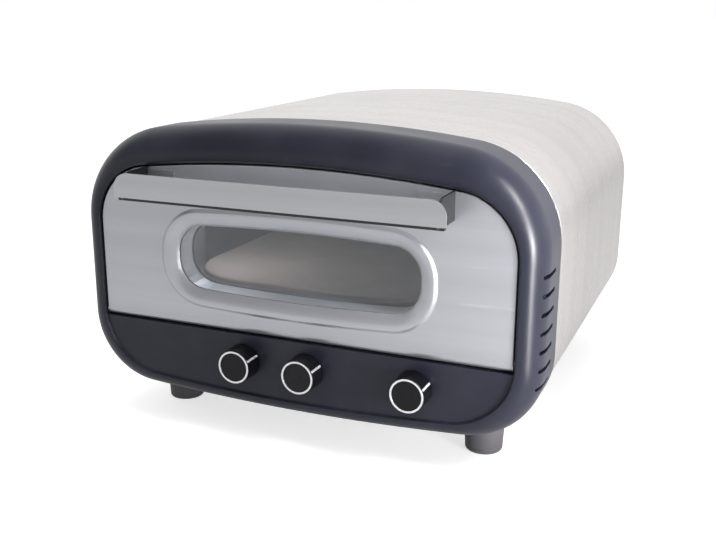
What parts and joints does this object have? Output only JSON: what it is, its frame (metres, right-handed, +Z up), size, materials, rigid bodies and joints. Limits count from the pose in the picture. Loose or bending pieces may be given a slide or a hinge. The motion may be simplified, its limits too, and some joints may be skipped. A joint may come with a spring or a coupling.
{
  "type": "countertop pizza oven",
  "caption": "Countertop electric pizza oven with a rounded dark front frame, a drop-down glazed door with a bar handle, rotary controls, a steel wrap body and short feet.",
  "frame": {"origin": "middle of the footprint at worktop level", "axes": "+X right seen from the front, +Y from the door to the back, +Z up"},
  "size_m": [0.439, 0.472, 0.291],
  "materials": {
    "bezel_plastic": "semi-gloss charcoal moulded plastic",
    "wrap_steel": "brushed stainless steel, grain round the body",
    "door_steel": "brushed stainless steel",
    "handle_steel": "brushed stainless steel, fine grain",
    "plated_steel": "zinc plated sheet",
    "liner_steel": "aluminised steel, dull",
    "rod_steel": "oxidised sheath",
    "knob_plastic": "black, satin",
    "trim_metal": "bright ring",
    "glass": "clear toughened glass",
    "seal_black": "silicone",
    "seal_braid": "braided glass fibre",
    "foot_rubber": "moulded dark feet",
    "wool": "mineral wool",
    "stone": "fired cordierite, unglazed",
    "ceramic": "glazed ceramic",
    "control_metal": "passivated",
    "brass_parts": "plain",
    "screw_steel": "bright",
    "inlet_plastic": "black"
  },
  "bodies": {
    "housing": {"front_bezel": "bezel_plastic", "outer_shell": "wrap_steel", "base_plate": "plated_steel", "rear_panel": "plated_steel", "front_frame": "liner_steel", "door_seal": "seal_braid", "oven_liner": "liner_steel", "insulation_jacket": "wool", "rear_standoffs": "plated_steel", "upper_element": "rod_steel", "lower_element": "rod_steel", "upper_element_bars": "liner_steel", "lower_element_bars": "liner_steel", "element_bushes": "ceramic", "stone_rails": "liner_steel", "stone_tray": "handle_steel", "pizza_stone": "stone", "thermal_cutout": "inlet_plastic", "control_bracket": "plated_steel", "upper_thermostat": "control_metal", "lower_thermostat": "control_metal", "timer_unit": "control_metal", "control_nuts": "brass_parts", "terminal_block": "ceramic", "power_inlet": "inlet_plastic", "inlet_pins": "brass_parts", "hinge_bracket_left": "plated_steel", "hinge_bracket_right": "plated_steel", "hinge_bushes": "brass_parts", "foot_front_left": "foot_rubber", "foot_front_right": "foot_rubber", "foot_rear_left": "foot_rubber", "foot_rear_right": "foot_rubber", "foot_screws": "screw_steel", "shell_screws": "screw_steel", "rear_screws": "screw_steel"},
    "door": {"door_skin": "door_steel", "door_pan": "liner_steel", "outer_glass": "glass", "inner_glass": "glass", "glass_spacer": "liner_steel", "door_handle": "handle_steel", "handle_screws": "screw_steel", "hinge_pins": "screw_steel", "door_stay_left": "plated_steel", "door_stay_right": "plated_steel"},
    "upper_heat_control": {"upper_heat_knob": "knob_plastic", "upper_heat_trim": "trim_metal", "upper_heat_shaft": "control_metal"},
    "lower_heat_control": {"lower_heat_knob": "knob_plastic", "lower_heat_trim": "trim_metal", "lower_heat_shaft": "control_metal"},
    "timer_control": {"timer_knob": "knob_plastic", "timer_trim": "trim_metal", "timer_shaft": "control_metal"}
  },
  "joints": [
    {"name": "door_hinge", "type": "hinge", "parent": "housing", "child": "door", "pos_m": [0, -0.188, 0.1094], "axis": [1, 0, 0], "range_deg": [0, 90]},
    {"name": "upper_heat_turn", "type": "hinge", "parent": "housing", "child": "upper_heat_control", "pos_m": [-0.05, -0.195, 0.077], "axis": [0, 1, 0], "range_deg": [0, 270]},
    {"name": "lower_heat_turn", "type": "hinge", "parent": "housing", "child": "lower_heat_control", "pos_m": [0.013, -0.195, 0.077], "axis": [0, 1, 0], "range_deg": [0, 270]},
    {"name": "timer_turn", "type": "hinge", "parent": "housing", "child": "timer_control", "pos_m": [0.114, -0.195, 0.077], "axis": [0, 1, 0], "range_deg": [0, 300]}
  ]
}
